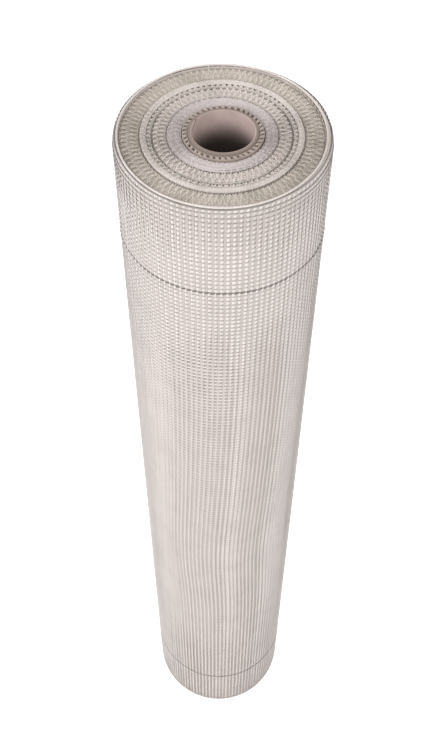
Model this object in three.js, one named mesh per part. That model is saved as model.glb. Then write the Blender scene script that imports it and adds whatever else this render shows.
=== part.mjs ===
// Roll of woven glass-fibre mesh, wound on a cardboard tube and standing on one end.
// Millimetres, +Z up, origin at the centre of the lower end, on the surface the roll stands on.

import * as THREE from 'three';

// The roll as a whole
const rollLength = 1000;
const rollDiameter = 174.6;
const roundSegments = 64;

// Edge of the outermost turns
const shoulderRadius = 2.6;
const shoulderSteps = 4;
const rimWidth = 2;

// Cardboard tube
const coreBore = 50;
const coreWall = 3;
const coreSetback = 0.4;

// Gap between the tube and the first turn wound on it
const coreClearance = 0.3;

// Ends of the roll: bands of turns, from the tube outwards, parted by grooves where the winding shifted
// width is the band's width across its turns, drops are how far its two edges lie below the rim
const bands = [
  { width: 3.9, innerDrop: 0.4, outerDrop: 0.4, ridges: 0 },
  { width: 10.5, innerDrop: 2.6, outerDrop: 2.2, ridges: 2 },
  { width: 10.3, innerDrop: 2.3, outerDrop: 1.8, ridges: 2 },
  { width: 8.7, innerDrop: 2.4, outerDrop: 1.2, ridges: 2 },
];
const outerBand = { innerDrop: 2.8, outerDrop: 1.4, ridges: 4 };
const grooveWidth = 1.2;
const grooveDepth = 1.8;
const ridgeHeight = 0.5;

// Sizes that follow from the ones above
const rollRadius = rollDiameter / 2;
const coreRadius = coreBore / 2 + coreWall;
const windingRadius = coreRadius + coreClearance;
const rimOuter = rollRadius - shoulderRadius;
const rimInner = rimOuter - rimWidth;

// The bands that fit between the tube and the rim, each with its inner and outer radius
function placedBands() {
  const placed = [];
  let radius = windingRadius;
  for (const band of bands) {
    if (radius + band.width + 2 * grooveWidth > rimInner) {
      break;
    }
    placed.push({ ...band, inner: radius, outer: radius + band.width });
    radius += band.width + grooveWidth;
  }
  placed.push({ ...outerBand, inner: radius, outer: rimInner - grooveWidth });
  return placed;
}

// Upper end, from the bore out to the rim: ridged bands at their own heights, with grooves between them
function upperEnd() {
  const points = [];
  for (const band of placedBands()) {
    const steps = Math.max(1, 2 * band.ridges);
    for (let i = 0; i <= steps; i++) {
      const share = i / steps;
      const valley = band.ridges > 0 && i % 2 === 0 ? ridgeHeight : 0;
      const drop = THREE.MathUtils.lerp(band.innerDrop, band.outerDrop, share) + valley;
      points.push([THREE.MathUtils.lerp(band.inner, band.outer, share), rollLength - drop]);
    }
    const grooveFloor = rollLength - band.outerDrop - grooveDepth;
    points.push([band.outer + grooveWidth / 2, grooveFloor]);
  }
  points.push([rimInner, rollLength], [rimOuter, rollLength]);
  return points;
}

// Lower end, from the rim in to the bore: the bands pressed level by the roll's weight
function lowerEnd() {
  const points = [];
  for (const band of placedBands().reverse()) {
    const meetsRim = points.length === 0;
    points.push([meetsRim ? rimOuter : band.outer, 0], [band.inner, 0]);
    points.push([band.inner - grooveWidth / 2, grooveDepth]);
  }
  points.pop();
  return points;
}

// Quarter-round edge between an end of the roll and its outside
function shoulder(centreZ, fromDegrees) {
  const points = [];
  for (let i = 1; i < shoulderSteps; i++) {
    const angle = THREE.MathUtils.degToRad(fromDegrees - 90 * i / shoulderSteps);
    points.push([rimOuter + shoulderRadius * Math.cos(angle), centreZ + shoulderRadius * Math.sin(angle)]);
  }
  return points;
}

// A solid turned about Z from a closed outline of [radius, height] points that runs clockwise,
// over the upper end and down the outside, and is reversed so that the faces point outwards
function turned(outline) {
  const points = outline.map(([radius, height]) => new THREE.Vector2(radius, height)).reverse();
  points.push(points[0].clone());
  return new THREE.LatheGeometry(points, roundSegments).rotateX(Math.PI / 2);
}

// The wound mesh
function meshRoll() {
  const upperCentre = rollLength - shoulderRadius;
  const outline = [
    ...upperEnd(),
    ...shoulder(upperCentre, 90),
    [rollRadius, upperCentre],
    [rollRadius, shoulderRadius],
    ...shoulder(shoulderRadius, 0),
    ...lowerEnd(),
  ];
  const material = new THREE.MeshStandardMaterial({ color: 0xd6cfca, roughness: 0.62, metalness: 0 });
  const mesh = new THREE.Mesh(turned(outline), material);
  mesh.name = 'mesh_roll';
  return mesh;
}

// The cardboard tube in the bore of the winding
function coreTube() {
  const outline = [
    [coreBore / 2, 0],
    [coreBore / 2, rollLength - coreSetback],
    [coreRadius, rollLength - coreSetback],
    [coreRadius, 0],
  ];
  const material = new THREE.MeshStandardMaterial({ color: 0xb39c90, roughness: 0.9, metalness: 0 });
  const mesh = new THREE.Mesh(turned(outline), material);
  mesh.name = 'core_tube';
  return mesh;
}

const roll = new THREE.Group();
roll.add(meshRoll(), coreTube());

export default roll;
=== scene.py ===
import math

import bpy
import bmesh
import numpy as np
from mathutils import Matrix, Vector


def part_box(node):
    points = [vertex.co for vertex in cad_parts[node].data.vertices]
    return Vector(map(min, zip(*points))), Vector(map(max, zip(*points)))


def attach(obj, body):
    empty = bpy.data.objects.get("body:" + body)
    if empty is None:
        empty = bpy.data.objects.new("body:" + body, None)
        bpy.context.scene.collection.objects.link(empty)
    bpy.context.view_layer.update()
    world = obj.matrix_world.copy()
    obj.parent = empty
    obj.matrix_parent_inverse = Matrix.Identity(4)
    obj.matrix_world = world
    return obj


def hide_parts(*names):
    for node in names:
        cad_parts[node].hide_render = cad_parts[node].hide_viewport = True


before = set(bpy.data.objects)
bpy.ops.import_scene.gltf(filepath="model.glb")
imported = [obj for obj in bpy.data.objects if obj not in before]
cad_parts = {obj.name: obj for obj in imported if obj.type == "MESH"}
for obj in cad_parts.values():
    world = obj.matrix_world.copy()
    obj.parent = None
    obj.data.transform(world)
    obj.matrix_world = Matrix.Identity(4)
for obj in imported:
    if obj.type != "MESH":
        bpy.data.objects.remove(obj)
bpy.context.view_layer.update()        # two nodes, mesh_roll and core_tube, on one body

# Metres throughout, +Z up the roll's axis, -Y towards the camera

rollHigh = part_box("mesh_roll")[1]    # the upper corner of each box; the axis runs through 0
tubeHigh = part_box("core_tube")[1]
rollLength = rollHigh[2]
rollRadius = rollHigh[0]
tubeLength = tubeHigh[2]
tubeRadius = tubeHigh[0]
mm = 0.001
fullTurn = 2 * math.pi
rng = np.random.default_rng(41)    # one generator, drawn from in the order of the pieces

# The web as it comes off the loom: upright yarns run across it, rows run along it
web = {
    "uprightPitch": 4.85 * mm,
    "rowPitch": 4.8 * mm,
    "turnThickness": 0.43 * mm,
    "nestedTurn": 0.26 * mm,       # the outer turns nest in each other at the front
    "uprightWidth": 1.90 * mm,
    "uprightThickness": 0.30 * mm,
    "straightWidth": 1.80 * mm,    # a row is two yarns: a straight one behind the upright yarns
    "crossingWidth": 1.10 * mm,    # and one that crosses it and runs slantwise over each of them
    "rowThickness": 0.24 * mm,
    "crossingRise": 0.18 * mm,
    "crossingSwing": 0.50 * mm,
    "flatterAbove": 0.55,          # share by which the yarns lie flatter in the uppermost stretch
    "markerFromEdge": 92 * mm,
    "lastRow": 2.0 * mm,           # from each end of the roll to the middle of the last row
    "innerTurnsLower": 1.5 * mm,   # the turns below the outer one end this much further in
    "shortBelow": (1.0 * mm, 0.4 * mm),    # the upright yarns stop this far from the lower end, and
    "shortAbove": (1.1 * mm, 0.3 * mm),    # from the upper one: the least, and how much they differ
}
outerRadius = rollRadius - web["crossingRise"] - web["rowThickness"] / 2

# How the upright yarns lean aside over the height of the roll, as the photograph shows
bow = {
    "drop": 5.8 * mm, "top": 0.80, "bottom": 0.50,
    "belly": 4.0 * mm, "bellyAt": 0.45, "bellySpread": 0.09,
}

# How unevenly the web is woven and wound: width as a share, the rest in metres, with its wavelengths
uneven = {
    "width": 0.14, "aside": 0.10 * mm,
    "drift": 0.24 * mm, "driftWaves": (0.31, 0.17, 0.09),
    "outward": 0.04 * mm, "outwardWaves": (0.05, 0.023),
    "rows": 0.16 * mm, "rowWaves": (0.21, 0.12, 0.047),
}

# Where the yarns of the turn below lie right behind those of the outer turn, by arc from the front
bands = {
    "leftArc": -20 * mm, "leftReach": 36 * mm,
    "rightArc": 42 * mm, "rightReach": 20 * mm, "rightShare": 0.75,
    "top": 0.87, "full": 0.79,     # shares of the roll's height
    "bottom": 0.36, "bottomFade": 0.2, "bottomReach": 90 * mm, "bottomShare": 0.8,
    "backFrom": 85 * mm, "backFade": 40 * mm, "backWave": 23 * mm, "backClimb": 5,
}

# How far the outer turn and those below it draw in at the ends, and how much more at the sides
edges = {
    "reach": 10 * mm, "curve": 2.5,
    "outer": 0.7 * mm, "outerAtSides": 1.3 * mm,
    "below": 0.9 * mm, "belowAtSides": 1.5 * mm,
}


def smooth(x):
    x = np.clip(x, 0, 1)
    return x * x * (3 - 2 * x)


def ripple(x, waves, spread):
    # smooth random curve along x; waves are wavelengths, and each row of spread is one curve
    total = np.zeros(np.broadcast(x, spread).shape)
    for wave in waves:
        total += np.sin(fullTurn * (x / wave + rng.random(spread.shape))) / len(waves)
    return total * spread


def sidewaysBow(z):
    share = z / rollLength
    lean = smooth((bow["top"] - share) / (bow["top"] - bow["bottom"]))
    belly = np.exp(-((share - bow["bellyAt"]) / bow["bellySpread"]) ** 2)
    return -bow["drop"] * lean - bow["belly"] * belly


def turnLength(turn):
    return fullTurn * (outerRadius - web["turnThickness"] * (turn + 0.5))


def cellsOf(turn):
    # openings round one turn, a multiple of four so that the yarns can be cut evenly
    return 4 * round(turnLength(turn) / web["uprightPitch"] / 4)


def stagger(arc, z):
    # share of a pitch by which each turn's upright yarns lie beside those of the turn above it
    share = z / rollLength
    left = np.exp(-((arc - bands["leftArc"]) / bands["leftReach"]) ** 4)
    right = bands["rightShare"] * np.exp(-((arc - bands["rightArc"]) / bands["rightReach"]) ** 4)
    low = bands["bottomShare"] * smooth((bands["bottom"] - share) / bands["bottomFade"])
    low = low * np.exp(-(arc / bands["bottomReach"]) ** 4)
    back = 0.5 + 0.5 * np.sin(arc / bands["backWave"] + bands["backClimb"] * share)
    back = back * smooth((np.abs(arc) - bands["backFrom"]) / bands["backFade"])
    lined = np.maximum(np.maximum(left, right), np.maximum(low, back))
    lined = lined * smooth((bands["top"] - share) / (bands["top"] - bands["full"]))
    return (1 - lined) / 3


def flattening(z):
    # the yarns of the uppermost stretch are pressed flatter
    above = (z / rollLength - bands["full"]) / (bands["top"] - bands["full"])
    return 1 - web["flatterAbove"] * smooth(above)


def edgeInset(z, angle, turn):
    # the outer turns draw in towards both ends of the roll, more at the sides than at front and back
    reach = edges["reach"]
    past = np.clip((np.abs(z - rollLength / 2) - (rollLength / 2 - reach)) / reach, 0, 1)
    atSides = np.sin(angle) ** 2
    if turn == 0:
        depth = edges["outer"] + edges["outerAtSides"] * atSides
    else:
        depth = edges["below"] + edges["belowAtSides"] * atSides
    return depth * past ** edges["curve"]


def wound(s, outward, z, turn):
    # s runs along the web from the front of the roll; the loose end is at the back
    share = s / turnLength(turn) + 0.5
    angle = fullTurn * share
    below = web["turnThickness"] * share + web["nestedTurn"] * turn
    radius = outerRadius - below + outward - edgeInset(z, angle, turn)
    return np.stack((-radius * np.sin(angle), radius * np.cos(angle), z), axis=-1)


# Ways of working

def startClean():
    if bpy.context.object and bpy.context.object.mode != "OBJECT":
        bpy.ops.object.mode_set(mode="OBJECT")
    bpy.ops.object.select_all(action="DESELECT")


def cutsInRounds(steps):
    # mesh.subdivide makes a hundred cuts at most, so a long yarn is cut in several rounds
    rounds = []
    while steps > 100:
        part = max(n for n in range(1, 101) if steps % n == 0)
        steps = steps // part if part > 1 else steps + 1
        rounds.append(part)
    return [part for part in rounds + [steps] if part > 1]


def straightYarn(sides, width, thickness, steps, along):
    # a yarn one metre long, flat section, cut into steps; along is "x" or "z"
    startClean()
    turned = (0, math.pi / 2, 0) if along == "x" else (0, 0, 0)
    middle = (0.5, 0, 0) if along == "x" else (0, 0, 0.5)
    bpy.ops.mesh.primitive_cylinder_add(
        vertices=sides, radius=0.5, depth=1, location=middle, rotation=turned)
    bpy.ops.object.transform_apply(location=True, rotation=True, scale=True)
    yarn = bpy.context.object
    bpy.ops.object.mode_set(mode="EDIT")
    bpy.ops.mesh.select_mode(type="EDGE")
    for part in cutsInRounds(steps):
        bpy.ops.mesh.select_all(action="DESELECT")
        shape = bmesh.from_edit_mesh(yarn.data)
        for edge in shape.edges:
            run = edge.verts[1].co - edge.verts[0].co
            edge.select = abs(run.x if along == "x" else run.z) > 0.99 * run.length
        bmesh.update_edit_mesh(yarn.data)
        bpy.ops.mesh.subdivide(number_cuts=part - 1)
    bpy.ops.mesh.select_all(action="SELECT")
    across = (1, thickness, width) if along == "x" else (width, thickness, 1)
    bpy.ops.transform.resize(value=across, center_override=(0, 0, 0))
    bpy.ops.object.mode_set(mode="OBJECT")
    return yarn


def vertexPlaces(piece):
    places = np.empty(len(piece.data.vertices) * 3)
    piece.data.vertices.foreach_get("co", places)
    return places.reshape(-1, 3)


def joinedCopies(name, pattern, places):
    # one mesh of many copies of the pattern; places holds each copy's vertices, copy by copy
    count, perCopy = places.shape[:2]
    mesh = pattern.data
    corners = np.empty(len(mesh.loops), dtype=np.int64)
    mesh.loops.foreach_get("vertex_index", corners)
    starts = np.empty(len(mesh.polygons), dtype=np.int64)
    mesh.polygons.foreach_get("loop_start", starts)
    copyIndex = np.arange(count)[:, None]
    joined = bpy.data.meshes.new(name)
    joined.vertices.add(count * perCopy)
    joined.vertices.foreach_set("co", places.reshape(-1))
    joined.loops.add(count * len(corners))
    joined.loops.foreach_set("vertex_index", (corners + copyIndex * perCopy).reshape(-1))
    joined.polygons.add(count * len(starts))
    joined.polygons.foreach_set("loop_start", (starts + copyIndex * len(corners)).reshape(-1))
    joined.update(calc_edges=True)
    joined.validate()
    bpy.data.objects.remove(pattern, do_unlink=True)
    piece = bpy.data.objects.new(name, joined)
    bpy.context.collection.objects.link(piece)
    return piece


def finishPiece(piece, material, node, smoothAngle=60):
    # shading, material and what the piece stands for; its place is already in its mesh
    startClean()
    piece.select_set(True)
    bpy.context.view_layer.objects.active = piece
    bpy.ops.object.shade_smooth_by_angle(angle=math.radians(smoothAngle))
    piece.data.materials.clear()
    piece.data.materials.append(material)
    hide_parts(node)
    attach(piece, "root")
    triangles = sum(len(face.vertices) - 2 for face in piece.data.polygons)
    print(f"{piece.name}: {triangles} triangles")


# Materials

def newMaterial(name):
    material = bpy.data.materials.new(name)
    material.use_nodes = True
    nodes = material.node_tree.nodes
    return material, nodes, material.node_tree.links, nodes["Principled BSDF"]


def addNode(nodes, kind, **values):
    node = nodes.new(kind)
    for key, value in values.items():
        if hasattr(node, key):
            setattr(node, key, value)
        else:
            node.inputs[key.replace("_", " ")].default_value = value
    return node


# What all yarns share: duller patches of coating, fine strands along the yarn, and the stretch where
# painted shade darkens the upper part
coating = {
    "patchScale": 38.0, "patchFrom": 0.35, "patchTo": 0.62,
    "strandsAcross": 6000, "strandsAlong": 500, "strandShare": 0.7,
    "bumpStrength": 0.5, "bumpDepth": 0.08 * mm,
    "topShadeFrom": 0.72, "topShadeTo": 0.87,    # shares of the roll's height over which the painted top shade sets in
}
yarnLook = {
    "bright": (0.53, 0.475, 0.45, 1), "dull": (0.475, 0.425, 0.40, 1),
    "roughness": 0.52, "sheen": 0.15,
    "topShade": 0.88,               # painted shade: the uppermost stretch is darkened to this share
}


def yarnMaterial(name, look, strandAlong):
    # coated glass yarn: fine strands, uneven coating, slightly duller patches, and painted shade towards
    # the top where the look gives it
    material, nodes, links, shader = newMaterial(name)
    coords = addNode(nodes, "ShaderNodeTexCoord")
    patches = addNode(nodes, "ShaderNodeTexNoise", Scale=coating["patchScale"], Detail=3.0, Roughness=0.6)
    links.new(coords.outputs["Object"], patches.inputs["Vector"])
    across, along = coating["strandsAcross"], coating["strandsAlong"]
    stretch = addNode(nodes, "ShaderNodeMapping")
    if strandAlong == "z":
        stretch.inputs["Scale"].default_value = (across, across, along)
    else:
        stretch.inputs["Scale"].default_value = (along, along, across)
    links.new(coords.outputs["Object"], stretch.inputs["Vector"])
    strands = addNode(nodes, "ShaderNodeTexNoise", Scale=1.0, Detail=2.0, Roughness=0.5)
    links.new(stretch.outputs["Vector"], strands.inputs["Vector"])
    blend = addNode(nodes, "ShaderNodeMix", data_type="RGBA")
    blend.inputs["A"].default_value = look["dull"]
    blend.inputs["B"].default_value = look["bright"]
    ramp = addNode(nodes, "ShaderNodeMapRange")
    ramp.inputs["From Min"].default_value = coating["patchFrom"]
    ramp.inputs["From Max"].default_value = coating["patchTo"]
    links.new(patches.outputs["Fac"], ramp.inputs["Value"])
    mixFactor = addNode(nodes, "ShaderNodeMath", operation="MULTIPLY_ADD")
    links.new(strands.outputs["Fac"], mixFactor.inputs[0])
    mixFactor.inputs[1].default_value = coating["strandShare"]
    links.new(ramp.outputs["Result"], mixFactor.inputs[2])
    links.new(mixFactor.outputs["Value"], blend.inputs["Factor"])
    split = addNode(nodes, "ShaderNodeSeparateXYZ")
    links.new(coords.outputs["Object"], split.inputs["Vector"])
    # painted shade: the colour is scaled down towards the top of the roll
    topShade = addNode(nodes, "ShaderNodeMapRange", interpolation_type="SMOOTHSTEP")
    links.new(split.outputs["Z"], topShade.inputs["Value"])
    topShade.inputs["From Min"].default_value = coating["topShadeFrom"] * rollLength
    topShade.inputs["From Max"].default_value = coating["topShadeTo"] * rollLength
    topShade.inputs["To Min"].default_value = 1
    topShade.inputs["To Max"].default_value = look.get("topShade", 1)
    shadedColour = addNode(nodes, "ShaderNodeVectorMath", operation="SCALE")
    links.new(blend.outputs["Result"], shadedColour.inputs["Vector"])
    links.new(topShade.outputs["Result"], shadedColour.inputs["Scale"])
    links.new(shadedColour.outputs["Vector"], shader.inputs["Base Color"])
    bump = addNode(nodes, "ShaderNodeBump", Strength=coating["bumpStrength"], Distance=coating["bumpDepth"])
    links.new(strands.outputs["Fac"], bump.inputs["Height"])
    links.new(bump.outputs["Normal"], shader.inputs["Normal"])
    shader.inputs["Roughness"].default_value = look["roughness"]
    shader.inputs["Sheen Weight"].default_value = look["sheen"]
    return material


markerLook = {
    "bright": (0.17, 0.145, 0.14, 1), "dull": (0.085, 0.07, 0.068, 1),
    "roughness": 0.6, "sheen": 0.1,
}
# painted light: the cut ends are the same glass yarn as the side, made far brighter to offset the shade
# among them, and tinted olive for the warm shade of the outer band
endLook = {
    "bright": (0.84, 0.78, 0.72, 1), "dull": (0.68, 0.625, 0.565, 1),
    "roughness": 0.6, "sheen": 0.1,
}
# painted light: a still brighter copy of the same yarn, for the middle bands' ends, the raised band's wall
# and the rim's pale line
innerEndLook = {
    "bright": (0.89, 0.83, 0.79, 1), "dull": (0.77, 0.71, 0.675, 1),
    "roughness": 0.6, "sheen": 0.1,
}
# painted light: a brightened copy of the same yarn, for the ends near the tube
smoothEndLook = {
    "bright": (0.81, 0.745, 0.73, 1), "dull": (0.69, 0.63, 0.615, 1),
    "roughness": 0.6, "sheen": 0.1,
}
# painted shade: the first turns on the tube are the same glass yarn, darkened and browned for the shade in
# the narrow gap by the tube
firstEndLook = {
    "bright": (0.46, 0.385, 0.34, 1), "dull": (0.34, 0.285, 0.245, 1),
    "roughness": 0.7, "sheen": 0.05,
}
# painted light: the packed yarn further in is a brightened copy of the same glass yarn, to offset the shade
# behind the outer yarns
deepLook = {
    "bright": (0.60, 0.54, 0.51, 1), "dull": (0.54, 0.485, 0.455, 1),
    "roughness": 0.7, "sheen": 0.05,
}
# painted light: the turns below are a brightened copy of the outer turn's yarn, to offset the shade between
# the turns
woundLook = {
    "bright": (0.74, 0.68, 0.65, 1), "dull": (0.68, 0.62, 0.59, 1),
    "roughness": 0.62, "sheen": 0.1,
}
# painted shadow: a dark copy of the same yarn, for rings that stand in gaps where there is only shade
shadowLineLook = {
    "bright": (0.30, 0.27, 0.24, 1), "dull": (0.22, 0.20, 0.175, 1),
    "roughness": 0.8, "sheen": 0.0,
}


board = {
    "dull": (0.46, 0.35, 0.32, 1), "bright": (0.62, 0.50, 0.47, 1),
    # inside is painted shade: the near-black the board turns to deep in the bore
    "seam": (0.19, 0.135, 0.115, 1), "inside": (0.05, 0.038, 0.032, 1), "cutEdge": (0.27, 0.215, 0.185, 1),
    "fibreScale": 900.0, "cloudScale": 45.0, "bumpStrength": 0.6, "bumpDepth": 0.2 * mm,
    "plyRise": 110 * mm, "seamWidth": 0.006,              # the seam's width is a share of a turn
    "boreShadeFrom": 34 * mm, "boreShadeTo": 6 * mm,        # inwards from each end: deeper than the first the board is painted in full bore shade, nearer than the second it keeps its colour
    "edgeFrom": 2.8 * mm, "edgeTo": 1.8 * mm,             # inwards from the outside of the tube
}


def cardboardMaterial():
    # spiral-wound grey-pink board: paper fibres, a ply seam that climbs round the wall, dusty edges, and
    # painted shade that turns it nearly black deep in the bore
    material, nodes, links, shader = newMaterial("cardboard")
    coords = addNode(nodes, "ShaderNodeTexCoord")
    fibres = addNode(nodes, "ShaderNodeTexNoise", Scale=board["fibreScale"], Detail=5.0, Roughness=0.7)
    clouds = addNode(nodes, "ShaderNodeTexNoise", Scale=board["cloudScale"], Detail=3.0, Roughness=0.5)
    links.new(coords.outputs["Object"], fibres.inputs["Vector"])
    links.new(coords.outputs["Object"], clouds.inputs["Vector"])
    mixed = addNode(nodes, "ShaderNodeMath", operation="MULTIPLY_ADD")
    links.new(fibres.outputs["Fac"], mixed.inputs[0])
    mixed.inputs[1].default_value = 0.5
    links.new(clouds.outputs["Fac"], mixed.inputs[2])
    ramp = addNode(nodes, "ShaderNodeMapRange")
    ramp.inputs["From Min"].default_value = 0.5
    ramp.inputs["From Max"].default_value = 1.0
    links.new(mixed.outputs["Value"], ramp.inputs["Value"])
    blend = addNode(nodes, "ShaderNodeMix", data_type="RGBA")
    blend.inputs["A"].default_value = board["dull"]
    blend.inputs["B"].default_value = board["bright"]
    links.new(ramp.outputs["Result"], blend.inputs["Factor"])
    # the seam: a dark hairline where angle and height keep step
    split = addNode(nodes, "ShaderNodeSeparateXYZ")
    links.new(coords.outputs["Object"], split.inputs["Vector"])
    angle = addNode(nodes, "ShaderNodeMath", operation="ARCTAN2")
    links.new(split.outputs["Y"], angle.inputs[0])
    links.new(split.outputs["X"], angle.inputs[1])
    turns = addNode(nodes, "ShaderNodeMath", operation="DIVIDE")
    links.new(angle.outputs["Value"], turns.inputs[0])
    turns.inputs[1].default_value = fullTurn
    climb = addNode(nodes, "ShaderNodeMath", operation="MULTIPLY_ADD")
    links.new(split.outputs["Z"], climb.inputs[0])
    climb.inputs[1].default_value = 1 / board["plyRise"]
    links.new(turns.outputs["Value"], climb.inputs[2])
    part = addNode(nodes, "ShaderNodeMath", operation="FRACT")
    links.new(climb.outputs["Value"], part.inputs[0])
    seam = addNode(nodes, "ShaderNodeMath", operation="COMPARE")
    links.new(part.outputs["Value"], seam.inputs[0])
    seam.inputs[1].default_value = 0.5
    seam.inputs[2].default_value = board["seamWidth"]
    seamed = addNode(nodes, "ShaderNodeMix", data_type="RGBA")
    links.new(seam.outputs["Value"], seamed.inputs["Factor"])
    links.new(blend.outputs["Result"], seamed.inputs["A"])
    seamed.inputs["B"].default_value = board["seam"]
    # painted shade: the board keeps its colour near both ends and turns nearly black deeper in, for the
    # shade inside the bore
    fromMiddle = addNode(nodes, "ShaderNodeMath", operation="SUBTRACT")
    links.new(split.outputs["Z"], fromMiddle.inputs[0])
    fromMiddle.inputs[1].default_value = tubeLength / 2
    nearEnd = addNode(nodes, "ShaderNodeMath", operation="ABSOLUTE")
    links.new(fromMiddle.outputs["Value"], nearEnd.inputs[0])
    boreShade = addNode(nodes, "ShaderNodeMapRange", interpolation_type="SMOOTHSTEP")
    links.new(nearEnd.outputs["Value"], boreShade.inputs["Value"])
    boreShade.inputs["From Min"].default_value = tubeLength / 2 - board["boreShadeFrom"]
    boreShade.inputs["From Max"].default_value = tubeLength / 2 - board["boreShadeTo"]
    shadedBoard = addNode(nodes, "ShaderNodeMix", data_type="RGBA")
    links.new(boreShade.outputs["Result"], shadedBoard.inputs["Factor"])
    shadedBoard.inputs["A"].default_value = board["inside"]
    links.new(seamed.outputs["Result"], shadedBoard.inputs["B"])
    # the cut edges of the board are duller than its inner face
    flat = addNode(nodes, "ShaderNodeVectorMath", operation="MULTIPLY")
    links.new(coords.outputs["Object"], flat.inputs[0])
    flat.inputs[1].default_value = (1, 1, 0)
    reach = addNode(nodes, "ShaderNodeVectorMath", operation="LENGTH")
    links.new(flat.outputs["Vector"], reach.inputs[0])
    cutEdge = addNode(nodes, "ShaderNodeMapRange")
    links.new(reach.outputs["Value"], cutEdge.inputs["Value"])
    cutEdge.inputs["From Min"].default_value = tubeRadius - board["edgeFrom"]
    cutEdge.inputs["From Max"].default_value = tubeRadius - board["edgeTo"]
    edged = addNode(nodes, "ShaderNodeMix", data_type="RGBA")
    links.new(cutEdge.outputs["Result"], edged.inputs["Factor"])
    links.new(shadedBoard.outputs["Result"], edged.inputs["A"])
    edged.inputs["B"].default_value = board["cutEdge"]
    links.new(edged.outputs["Result"], shader.inputs["Base Color"])
    bump = addNode(nodes, "ShaderNodeBump", Strength=board["bumpStrength"], Distance=board["bumpDepth"])
    links.new(mixed.outputs["Value"], bump.inputs["Height"])
    links.new(bump.outputs["Normal"], shader.inputs["Normal"])
    shader.inputs["Roughness"].default_value = 0.9
    return material


uprightYarn = yarnMaterial("upright glass yarn", yarnLook, "z")
rowYarn = yarnMaterial("row glass yarn", yarnLook, "x")
innerYarn = yarnMaterial("glass yarn of the turns below", woundLook, "z")
deepYarn = yarnMaterial("packed yarn further in", deepLook, "z")
endYarn = yarnMaterial("cut yarn ends", endLook, "z")
innerEndYarn = yarnMaterial("cut yarn ends of the middle bands", innerEndLook, "z")
smoothEndYarn = yarnMaterial("cut yarn ends near the tube", smoothEndLook, "z")
firstEndYarn = yarnMaterial("first turns on the tube", firstEndLook, "z")
markerYarn = yarnMaterial("grey marker yarn", markerLook, "x")
# painted shadow: dark yarn for the groove feet and the line outside the rim
shadowLineYarn = yarnMaterial("painted shadow line yarn", shadowLineLook, "x")
cardboard = cardboardMaterial()
print("materials made")


# Camera, floor and lights

camera = {
    "behind": 0.637969, "height": 1.523390,
    "pitch": 0.919386, "yaw": -0.00138969, "roll": 0.00987404,
    "focalPixels": 1033.583, "framePixels": 750, "sensorWidth": 36,
}


def placeCamera():
    startClean()
    bpy.ops.object.camera_add()
    eye = bpy.context.object
    eye.name = "photo_camera"
    place = Matrix.Translation((0, -camera["behind"], camera["height"]))
    aim = Matrix.Rotation(camera["yaw"], 4, "Z") @ Matrix.Rotation(math.pi / 2 - camera["pitch"], 4, "X")
    eye.matrix_world = place @ aim @ Matrix.Rotation(camera["roll"], 4, "Z")
    eye.data.sensor_width = camera["sensorWidth"]
    eye.data.lens = camera["focalPixels"] * eye.data.sensor_width / camera["framePixels"]
    eye.data.clip_start = 0.01
    bpy.context.scene.camera = eye


light = {
    "leftSky": 1.25, "rightSky": 0.70,     # strength of the white surroundings at either side
    "floorSize": 14, "floorGrey": (0.92, 0.92, 0.92, 1),
    "floorGlow": 0.65, "unlitFloor": 60 * mm,     # the floor doesn't glow under the roll
    "aimHeight": 0.6,              # the lamps point at this height on the axis
}
lamps = (
    {"name": "left_softbox", "place": (-1.8, -1.2, 1.7), "size": 0.9,
     "power": 7, "colour": (1, 0.99, 0.975)},
    {"name": "right_softbox", "place": (0.9, -1.8, 1.75), "size": 0.6,
     "power": 4, "colour": (1, 0.985, 0.97)},
)


def softLamp(values):
    startClean()
    bpy.ops.object.light_add(type="AREA", location=values["place"])
    lamp = bpy.context.object
    lamp.name = values["name"]
    lamp.data.shape = "DISK"
    lamp.data.size = values["size"]
    lamp.data.energy = values["power"]
    lamp.data.color = values["colour"]
    towards = Vector(values["place"]) - Vector((0, 0, light["aimHeight"]))
    lamp.rotation_mode = "QUATERNION"
    lamp.rotation_quaternion = towards.to_track_quat("Z", "Y")


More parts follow.
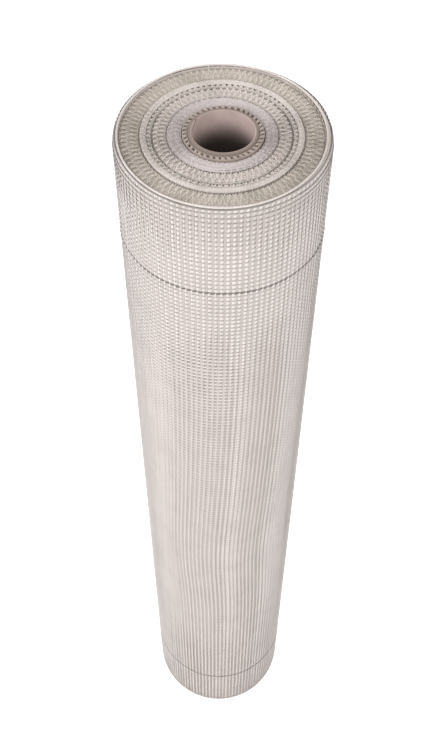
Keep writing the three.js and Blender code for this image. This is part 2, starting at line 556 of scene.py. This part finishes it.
def studio():
    startClean()
    bpy.ops.mesh.primitive_plane_add(size=light["floorSize"], location=(0, 0, 0))
    floor = bpy.context.object
    floor.name = "studio_floor"
    material, nodes, links, shader = newMaterial("pale floor")
    shader.inputs["Base Color"].default_value = light["floorGrey"]
    shader.inputs["Emission Color"].default_value = (1, 1, 1, 1)
    coords = addNode(nodes, "ShaderNodeTexCoord")
    distance = addNode(nodes, "ShaderNodeVectorMath", operation="LENGTH")
    links.new(coords.outputs["Object"], distance.inputs[0])
    outside = addNode(nodes, "ShaderNodeMath", operation="GREATER_THAN")
    links.new(distance.outputs["Value"], outside.inputs[0])
    outside.inputs[1].default_value = light["unlitFloor"]
    glow = addNode(nodes, "ShaderNodeMath", operation="MULTIPLY")
    links.new(outside.outputs["Value"], glow.inputs[0])
    glow.inputs[1].default_value = light["floorGlow"]
    links.new(glow.outputs["Value"], shader.inputs["Emission Strength"])
    shader.inputs["Roughness"].default_value = 0.95
    floor.data.materials.append(material)
    world = bpy.data.worlds.new("studio white")
    bpy.context.scene.world = world
    world.use_nodes = True
    nodes, links = world.node_tree.nodes, world.node_tree.links
    # white all round, brighter at the left
    coords = addNode(nodes, "ShaderNodeTexCoord")
    split = addNode(nodes, "ShaderNodeSeparateXYZ")
    links.new(coords.outputs["Generated"], split.inputs["Vector"])
    fromLeft = addNode(nodes, "ShaderNodeMapRange")
    links.new(split.outputs["X"], fromLeft.inputs["Value"])
    fromLeft.inputs["From Min"].default_value = -1
    fromLeft.inputs["From Max"].default_value = 1
    fromLeft.inputs["To Min"].default_value = light["leftSky"]
    fromLeft.inputs["To Max"].default_value = light["rightSky"]
    links.new(fromLeft.outputs["Result"], nodes["Background"].inputs["Strength"])
    nodes["Background"].inputs["Color"].default_value = (1, 1, 1, 1)
    for lamp in lamps:
        softLamp(lamp)
    bpy.context.scene.view_settings.view_transform = "Standard"
    bpy.context.scene.view_settings.look = "None"


placeCamera()
studio()
print("camera, floor and lights placed")


# Upright yarns of the outer turns

def uprightYarns(name, turn, steps, material):
    pattern = straightYarn(4, web["uprightWidth"], web["uprightThickness"], steps, "z")
    shape = vertexPlaces(pattern)
    count = cellsOf(turn)
    pitch = turnLength(turn) / count
    arc = pitch * (np.arange(count)[:, None] - (count - 1) / 2)
    lower = web["innerTurnsLower"] if turn > 0 else 0
    least, more = web["shortBelow"]
    low = least + more * rng.random((count, 1)) + lower
    least, more = web["shortAbove"]
    high = rollLength - (least + more * rng.random((count, 1))) - lower
    z = low + shape[:, 2] * (high - low)
    width = 1 + uneven["width"] * rng.standard_normal((count, 1))
    drift = ripple(z, uneven["driftWaves"], np.full((count, 1), uneven["drift"]))
    drift = drift + uneven["aside"] * rng.standard_normal((count, 1))
    lie = web["uprightPitch"] * turn * stagger(arc, z)
    s = arc + shape[:, 0] * width + sidewaysBow(z) + lie + drift
    lift = ripple(z, uneven["outwardWaves"], np.full((count, 1), uneven["outward"]))
    outward = shape[:, 1] * flattening(z) + lift
    piece = joinedCopies(name, pattern, wound(s, outward, z, turn))
    finishPiece(piece, material, "mesh_roll")


rowCount = round((rollLength - 2 * web["lastRow"]) / web["rowPitch"]) + 1
rowHeights = np.linspace(web["lastRow"], rollLength - web["lastRow"], rowCount)
markerRows = [int(np.argmin(np.abs(rowHeights - fromEdge)))
              for fromEdge in (web["markerFromEdge"], rollLength - web["markerFromEdge"])]

# How far the rows of the turn below lie beneath those above, in shares of a pitch: more at the left
rowNesting = {
    "least": 0.06, "atLeft": 0.44, "leftOf": 12 * mm, "fade": 20 * mm,
    "bottom": 0.12, "bottomFade": 0.15, "top": 0.86, "topFade": 0.06,    # shares of the roll's height
}


def rowShift(arc, z):
    share = z / rollLength
    middling = smooth((share - rowNesting["bottom"]) / rowNesting["bottomFade"])
    middling = middling * smooth((rowNesting["top"] - share) / rowNesting["topFade"])
    leftward = smooth((rowNesting["leftOf"] - arc) / rowNesting["fade"])
    return rowNesting["least"] + rowNesting["atLeft"] * leftward * middling


def rows(name, turn, which, crossing, material, perCell, sides=3, thick=1.0, dip=0.0, below=0.0):
    # a crossing yarn has a corner on either side of each upright yarn, so that it slants over it;
    # dip takes it down between them, and below is how far the whole row lies beneath its height
    cells = cellsOf(turn)
    width = (web["crossingWidth"] if crossing else web["straightWidth"]) * thick
    pattern = straightYarn(sides, width, web["rowThickness"] * thick, int(cells * perCell), "x")
    shape = vertexPlaces(pattern)
    cell = shape[:, 0] * cells
    # the corners of a crossing yarn are moved back a quarter of a cell, except at its two ends
    aside = 0.25 / cells if crossing else 0
    share = shape[:, 0] - aside * np.sin(math.pi * shape[:, 0]) ** 0.1
    arc = (share - 0.5) * turnLength(turn)
    heights = rowHeights[which][:, None]
    wobble = ripple(arc, uneven["rowWaves"], np.full((len(which), 1), uneven["rows"]))
    flatter = flattening(heights)
    if crossing:
        rise = web["crossingRise"] * flatter - dip * np.cos(fullTurn * (cell - 0.25))
    else:
        rise = -0.5 * web["crossingRise"]
    swing = web["crossingSwing"] * flatter * np.cos(fullTurn * cell) if crossing else 0
    nested = turn * rowShift(arc, heights) * web["rowPitch"]
    z = np.clip(heights + shape[:, 2] + swing + wobble - nested - below, 0, rollLength)
    s = arc + sidewaysBow(heights)
    outward = np.broadcast_to(shape[:, 1] + rise, z.shape)
    piece = joinedCopies(name, pattern, wound(s, outward, z, turn))
    finishPiece(piece, material, "mesh_roll")


plainRows = np.setdiff1d(np.arange(rowCount), markerRows)
half = len(plainRows) // 2

# The marker threads: thick and dipping between the upright yarns where they show, thin in the turn below
markerThread = {
    "outer": {"perCell": 8, "sides": 6, "thick": 1.6, "dip": 0.36 * mm},
    "second": {"perCell": 2, "sides": 5, "thick": 0.6, "below": 1.3 * mm},
}

uprightYarns("outer_upright_yarns", turn=0, steps=60, material=uprightYarn)
rows("outer_crossing_yarns_lower", 0, plainRows[:half], True, rowYarn, perCell=2)
rows("outer_crossing_yarns_upper", 0, plainRows[half:], True, rowYarn, perCell=2)
rows("outer_straight_rows", 0, np.arange(rowCount), False, rowYarn, perCell=1)
rows("outer_marker_threads", 0, np.array(markerRows), True, markerYarn, **markerThread["outer"])
print("outer turn woven")

uprightYarns("second_turn_upright_yarns", turn=1, steps=24, material=innerYarn)
uprightYarns("third_turn_upright_yarns", turn=2, steps=16, material=innerYarn)
fromMiddle = np.abs(rowHeights[plainRows] - rollLength / 2)
shortRows = plainRows[fromMiddle < rollLength / 2 - web["innerTurnsLower"]]
rows("second_turn_rows", 1, shortRows, False, innerYarn, perCell=0.67)
rows("second_turn_marker_threads", 1, np.array(markerRows), False, markerYarn, **markerThread["second"])
print("turns below laid in")


# The ends of the roll

def cadOutline(atTop):
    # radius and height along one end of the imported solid, from the bore outwards
    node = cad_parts["mesh_roll"]
    places = vertexPlaces(node)
    radius = np.round(np.hypot(places[:, 0], places[:, 1]), 5)
    height = np.round(places[:, 2], 5)
    endStretch = 12 * mm
    near = height > rollLength - endStretch if atTop else height < endStretch
    ends = np.unique(np.stack((radius[near], height[near]), axis=1), axis=0)
    return ends[:, 0], ends[:, 1]


# Bands of turns from the tube outwards; turns of one band were laid alike, so their cut ends line up
# in streaks. Where rowDepth is small the last row of each turn hides the cut ends, and the band looks
# smooth. drift is the share of a pitch by which the streaks slant from one turn to the next.
upperBands = (
    {"inner": 33.0 * mm, "outer": 44.3 * mm, "rowDepth": 0.35 * mm, "drift": 0.035, "look": "smooth"},
    {"inner": 44.9 * mm, "outer": 55.4 * mm, "rowDepth": 1.35 * mm, "drift": 0.035, "look": "inner"},
    {"inner": 56.7 * mm, "outer": 60.4 * mm, "rowDepth": 1.40 * mm, "drift": 0.030, "look": "inner"},
    {"inner": 60.6 * mm, "outer": 65.4 * mm, "rowDepth": 0.10 * mm, "drift": 0.030, "look": "inner"},
    {"inner": 66.5 * mm, "outer": 82.6 * mm, "rowDepth": 1.05 * mm, "drift": 0.026, "look": "outer"},
)
lowerBands = (
    {"inner": 33.0 * mm, "outer": 84.6 * mm, "rowDepth": 0.60 * mm, "drift": 0.030, "look": "outer"},
)
endYarnSizes = {
    "footDepth": 8.0 * mm, "stubWidth": 1.45 * mm, "stubThickness": 0.30 * mm,
    "rowWidth": 0.40 * mm, "rowHeight": 0.75 * mm,
    "lean": 0.10 * mm, "turnUneven": 0.12 * mm, "tipUneven": 0.08 * mm, "rowUneven": 0.05 * mm,
    "tipBelow": 0.1 * mm, "spread": 0.3, "aside": 0.04,    # the last two are shares of a size and a pitch
}

# Towards the rim the turns lie in a slightly narrow oval, a little left of the tube
oval = {"from": 32 * mm, "fade": 20 * mm, "narrower": 0.0185, "left": 0.9 * mm, "forward": 0.3 * mm}

# Just inside the rim of the upper end the turns sink a little
sunk = {"from": 77 * mm, "fade": 4 * mm, "depth": 1.1 * mm}


def endPlan(radius, angle, z):
    out = smooth((radius - oval["from"]) / oval["fade"])
    x = -radius * np.sin(angle) * (1 - oval["narrower"] * out) - oval["left"] * out
    y = radius * np.cos(angle) * (1 + oval["narrower"] * out) - oval["forward"] * out
    return np.stack((x, y, z), axis=-1)


mostTurns = 400
turnLifts = rng.standard_normal((3, mostTurns))
turnPhases = rng.random((3, mostTurns))


def endHeights(radius, atTop):
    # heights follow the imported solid
    radii, heights = cadOutline(atTop)
    lower = sunk["depth"] * smooth((radius - sunk["from"]) / sunk["fade"]) if atTop else 0
    return np.interp(radius, radii, heights) - lower


def turnUnevenness(turn, angle):
    # each turn's edge stands a little higher or lower than its neighbours', and wanders as it goes round
    total = 0
    for waves in range(3):
        total = total + turnLifts[waves, turn] * np.cos(waves * angle + fullTurn * turnPhases[waves, turn])
    return total * endYarnSizes["turnUneven"]


def bandTurns(band, steps):
    # turn number, angle and radius of each step along one band's spiral
    turns = int((band["outer"] - band["inner"]) / web["turnThickness"])
    turn = np.repeat(np.arange(turns), steps)
    share = np.tile(np.arange(steps) / steps, turns)
    radius = band["inner"] + web["turnThickness"] * (turn + share + 0.5)
    return turn, fullTurn * share, radius


def endYarns(name, band, atTop, material):
    sizes = endYarnSizes
    pattern = straightYarn(4 if atTop else 3, 1, 1, 1, "z")
    shape = vertexPlaces(pattern)
    middle = (band["inner"] + band["outer"]) / 2
    turn, angle, radius = bandTurns(band, round(fullTurn * middle / web["uprightPitch"]))
    count = len(turn)
    odd = turn % 2
    laid = 0.5 * odd + band["drift"] * turn * np.where(odd == 1, 1, -1)
    laid = laid + sizes["aside"] * rng.standard_normal(count)
    angle = angle + laid * web["uprightPitch"] / middle
    tip = endHeights(radius, atTop)
    lift = turnUnevenness(turn, angle) + sizes["tipUneven"] * rng.standard_normal(count)
    tip = np.clip(tip + lift - sizes["tipBelow"], 0, rollLength)
    foot = np.full(count, rollLength - sizes["footDepth"] if atTop else sizes["footDepth"])
    least, more = 1 - sizes["spread"] / 2, sizes["spread"]
    width = sizes["stubWidth"] * (least + more * rng.random(count))
    thickness = sizes["stubThickness"] * (least + more * rng.random(count))
    share = shape[:, 2] if atTop else 1 - shape[:, 2]
    across = shape[:, 0] * width[:, None] + share * sizes["lean"] * rng.standard_normal((count, 1))
    outward = 0.5 * share * sizes["lean"] * rng.standard_normal((count, 1))
    outward = outward + shape[:, 1] * thickness[:, None]
    z = foot[:, None] + share * (tip - foot)[:, None]
    stubs = endPlan(radius[:, None] + outward, angle[:, None] - across / radius[:, None], z)
    finishPiece(joinedCopies(name, pattern, stubs), material, "mesh_roll")


def endRows(name, band, atTop, material, stepsPerTurn):
    # the last row of every turn, as one yarn wound through the band
    sizes = endYarnSizes
    sides = 4 if atTop else 3
    turn, angle, radius = bandTurns(band, stepsPerTurn)
    pattern = straightYarn(sides, sizes["rowWidth"], sizes["rowHeight"], len(turn) - 1, "x")
    pattern.data.transform(Matrix.Rotation(math.pi / 2, 4, "X"))
    shape = vertexPlaces(pattern)
    steps = round(len(shape) / sides) - 1
    place = np.minimum(np.rint(shape[:, 0] * steps).astype(int), len(turn) - 1)
    tip = endHeights(radius, atTop)
    down = band["rowDepth"] + 0.5 * sizes["rowHeight"]
    z = tip + turnUnevenness(turn, angle) + (-down if atTop else down)
    z = z + sizes["rowUneven"] * rng.standard_normal(len(z))
    z = np.clip(z, sizes["rowHeight"] / 2, rollLength - sizes["rowHeight"] / 2)
    yarn = endPlan(radius[place] + shape[:, 1], angle[place], z[place] + shape[:, 2])
    finishPiece(joinedCopies(name, pattern, yarn[None]), material, "mesh_roll")


endMaterials = {"smooth": smoothEndYarn, "inner": innerEndYarn, "outer": endYarn}
for number, band in enumerate(upperBands):
    material = endMaterials[band["look"]]
    endYarns(f"upper_end_yarns_{number}", band, True, material)
    endRows(f"upper_end_rows_{number}", band, True, material, stepsPerTurn=80)
for number, band in enumerate(lowerBands):
    material = endMaterials[band["look"]]
    endYarns(f"lower_end_yarns_{number}", band, False, material)
    endRows(f"lower_end_rows_{number}", band, False, material, stepsPerTurn=48)
print("ends of the roll made")


# The wound turns inside, as one turned body behind the yarns

def spunPiece(name, outline, steps):
    # a closed outline of radius and height, extruded point by point and spun about the axis
    startClean()
    bpy.ops.mesh.primitive_plane_add(size=1 * mm, location=(0, 0, 0))
    piece = bpy.context.object
    piece.name = name
    bpy.ops.object.mode_set(mode="EDIT")
    bpy.ops.mesh.select_mode(type="VERT")
    bpy.ops.mesh.select_all(action="SELECT")
    bpy.ops.mesh.merge(type="CENTER")
    bpy.ops.transform.translate(value=(outline[0][0], 0, outline[0][1]))
    for here, there in zip(outline, outline[1:] + outline[:1]):
        step = (there[0] - here[0], 0, there[1] - here[1])
        bpy.ops.mesh.extrude_vertices_move(TRANSFORM_OT_translate={"value": step})
    bpy.ops.mesh.select_all(action="SELECT")
    bpy.ops.mesh.spin(steps=steps, angle=fullTurn, center=(0, 0, 0), axis=(0, 0, 1))
    bpy.ops.mesh.select_all(action="SELECT")
    bpy.ops.mesh.remove_doubles(threshold=1e-6)
    bpy.ops.mesh.normals_make_consistent(inside=False)
    bpy.ops.object.mode_set(mode="OBJECT")
    return piece


winding = {
    "behind": 2.0, "endDepth": 7.5 * mm, "lowerEndDepth": 4 * mm,
    "ringRadius": 32.5 * mm, "ringDepth": 12 * mm,
    "wallInner": 82.0 * mm, "wallOuter": 83.6 * mm, "wallDepth": 1.8 * mm, "shoulder": 9 * mm,
    "wallForward": 1.8 * mm,       # the wall follows the rim forward at the front
    "clearance": 0.2 * mm, "slope": 0.2 * mm, "shoulderWidth": 0.5 * mm, "shoulderShare": 0.4,
}


def innerWinding():
    bore = tubeRadius + winding["clearance"]
    outside = outerRadius - winding["behind"] * web["turnThickness"]
    rounded = outside - winding["shoulderWidth"]
    shoulder, slope = winding["shoulder"], winding["slope"]
    foot, wallFoot = winding["lowerEndDepth"], winding["wallDepth"]
    top, wallTop = rollLength - winding["endDepth"], rollLength - winding["wallDepth"]
    ringTop, ringRadius = rollLength - winding["ringDepth"], winding["ringRadius"]
    wallInner, wallOuter = winding["wallInner"], winding["wallOuter"]
    outline = [
        (bore, foot), (bore, ringTop),
        (ringRadius, ringTop), (ringRadius + slope, top),
        (wallInner, top), (wallInner + slope, wallTop), (wallOuter, wallTop),
        (rounded, wallTop - winding["shoulderShare"] * shoulder), (outside, wallTop - shoulder),
        (outside, wallFoot + shoulder), (rounded, wallFoot + winding["shoulderShare"] * shoulder),
        (wallOuter, wallFoot), (wallInner, wallFoot), (wallInner - slope, foot),
    ]
    piece = spunPiece("inner_winding", outline, steps=160)
    places = vertexPlaces(piece)
    radius = np.hypot(places[:, 0], places[:, 1])
    slack = 0.1 * mm
    wall = (radius > wallInner - slack) & (radius < wallOuter + slack) & (places[:, 2] > rollLength / 2)
    frontness = np.clip(-places[:, 1] / radius, 0, 1) ** 2
    moved = np.where(wall, 1 + winding["wallForward"] * frontness / radius, 1)
    places[:, :2] *= moved[:, None]
    piece.data.vertices.foreach_set("co", places.reshape(-1))
    finishPiece(piece, deepYarn, "mesh_roll", smoothAngle=40)


innerWinding()


tube = {"wall": 3 * mm, "rounding": 0.35 * mm}


def cardboardTube():
    bore = tubeRadius - tube["wall"]
    rounding = tube["rounding"]
    outline = [
        (bore, rounding), (bore, tubeLength - rounding), (bore + rounding, tubeLength),
        (tubeRadius - rounding, tubeLength), (tubeRadius, tubeLength - rounding), (tubeRadius, rounding),
        (tubeRadius - rounding, 0), (bore + rounding, 0),
    ]
    piece = spunPiece("cardboard_tube", outline, steps=128)
    finishPiece(piece, cardboard, "core_tube", smoothAngle=50)


cardboardTube()
print("inner winding and tube made")


# First turns on the tube: their edge stands up as a ring with an opening between each two upright yarns

firstTurns = {
    "bars": 40, "inner": 28.7 * mm, "outer": 32.0 * mm, "barWidth": 2.8 * mm, "barDepth": 7 * mm,
    "slant": 1.3 * mm, "ringWidth": 0.8 * mm, "ringDepth": 4 * mm, "below": 1.4 * mm,
    "bevel": 0.12, "aside": 0.05,  # shares of a bar's size and of the space between two bars
    "topUneven": 0.3 * mm, "ringSwing": 0.10 * mm,
}


def firstTurnBars():
    startClean()
    bpy.ops.mesh.primitive_cube_add(size=1, location=(0, 0, 0.5))
    bar = bpy.context.object
    bpy.ops.object.transform_apply(location=True, rotation=True, scale=True)
    bpy.ops.object.mode_set(mode="EDIT")
    bpy.ops.mesh.select_all(action="SELECT")
    bpy.ops.mesh.bevel(offset=firstTurns["bevel"], segments=2, affect="EDGES")
    bpy.ops.object.mode_set(mode="OBJECT")
    shape = vertexPlaces(bar)
    count = firstTurns["bars"]
    place = np.arange(count)[:, None] + firstTurns["aside"] * rng.standard_normal((count, 1))
    angle = fullTurn * place / count
    middle = (firstTurns["inner"] + firstTurns["outer"]) / 2
    radius = middle + shape[:, 1] * (firstTurns["outer"] - firstTurns["inner"])
    top = rollLength - firstTurns["below"] - firstTurns["topUneven"] * rng.random((count, 1))
    z = top - (1 - shape[:, 2]) * firstTurns["barDepth"]
    across = shape[:, 0] * firstTurns["barWidth"] + shape[:, 1] * firstTurns["slant"]
    bars = joinedCopies("first_turn_bars", bar, endPlan(radius, angle + across / middle, z))
    finishPiece(bars, firstEndYarn, "mesh_roll")


def firstTurnRings():
    depth, width = firstTurns["ringDepth"], firstTurns["ringWidth"]
    pattern = straightYarn(sides=6, width=depth, thickness=width, steps=240, along="x")
    shape = vertexPlaces(pattern)
    angle = shape[:, 0] * fullTurn
    swing = firstTurns["ringSwing"] * np.sin(firstTurns["bars"] * angle)
    middle = rollLength - firstTurns["below"] - depth / 2
    rings = [endPlan(ring + shape[:, 1] + swing, angle, middle + shape[:, 2])
             for ring in (firstTurns["inner"], firstTurns["outer"])]
    piece = joinedCopies("first_turn_rings", pattern, np.stack(rings))
    finishPiece(piece, firstEndYarn, "mesh_roll")


firstTurnBars()
firstTurnRings()
print("first turns made")


# The rim: the selvedge of the turns just inside the outer ones stands up as a pale line,
# with a dark ring of painted shadow outside it for the shaded gap by the next turn, sinking away at the
# right

rim = {
    "pale": (83.2 * mm, 83.7 * mm, 84.2 * mm), "paleWidth": 0.5 * mm, "paleDepth": 1.4 * mm,
    "dark": (84.9 * mm, 85.3 * mm), "darkWidth": 0.5 * mm, "darkBelow": 0.9 * mm, "sinks": 1.6 * mm,
    "rightFrom": 0.55, "rightFade": 0.3,       # where it sinks, by the sine of the angle
}
# Rings that close the foot of each groove between two bands, dark as painted shadow, and the outer wall of
# the raised band
ledges = (
    {"name": "inner_groove_foot", "radius": 44.6 * mm, "width": 0.8 * mm,
     "depth": 2.0 * mm, "below": 3.0 * mm, "material": shadowLineYarn},
    {"name": "middle_groove_foot", "radius": 56.05 * mm, "width": 1.0 * mm,
     "depth": 2.0 * mm, "below": 3.4 * mm, "material": shadowLineYarn},
    {"name": "outer_groove_foot", "radius": 66.0 * mm, "width": 1.3 * mm,
     "depth": 2.0 * mm, "below": 3.4 * mm, "material": shadowLineYarn},
    {"name": "raised_band_wall", "radius": 65.0 * mm, "width": 0.4 * mm,
     "depth": 2.2 * mm, "below": 1.9 * mm, "material": innerEndYarn},
)
# How each ring wavers in height: a slow wave that differs from ring to ring, and a fine one
waver = {
    "below": 0.15 * mm, "slow": 0.10 * mm, "slowWaves": 5, "slowShift": 900,
    "fine": 0.05 * mm, "fineWaves": 110,
}


def rimRings(name, radii, width, depth, below, sinks, material):
    pattern = straightYarn(sides=6, width=depth, thickness=width, steps=300, along="x")
    shape = vertexPlaces(pattern)
    angle = shape[:, 0] * fullTurn
    toRight = smooth((-np.sin(angle) - rim["rightFrom"]) / rim["rightFade"])
    middle = rollLength - below - depth / 2 - waver["below"] - sinks * toRight
    fine = waver["fine"] * np.sin(waver["fineWaves"] * angle)
    rings = []
    for radius in radii:
        slow = waver["slow"] * np.sin(waver["slowWaves"] * angle + waver["slowShift"] * radius)
        rings.append(endPlan(radius + shape[:, 1], angle, middle + slow + fine + shape[:, 2]))
    piece = joinedCopies(name, pattern, np.stack(rings))
    finishPiece(piece, material, "mesh_roll")


for ledge in ledges:
    rimRings(ledge["name"], (ledge["radius"],), ledge["width"], ledge["depth"], ledge["below"],
             0, ledge["material"])
rimRings("rim_selvedge", rim["pale"], rim["paleWidth"], rim["paleDepth"], 0, 0, innerEndYarn)
# a dark ring of painted shadow outside the selvedge
rimRings("rim_shadow_line", rim["dark"], rim["darkWidth"], rim["paleDepth"], rim["darkBelow"],
         rim["sinks"], shadowLineYarn)
print("rim made")
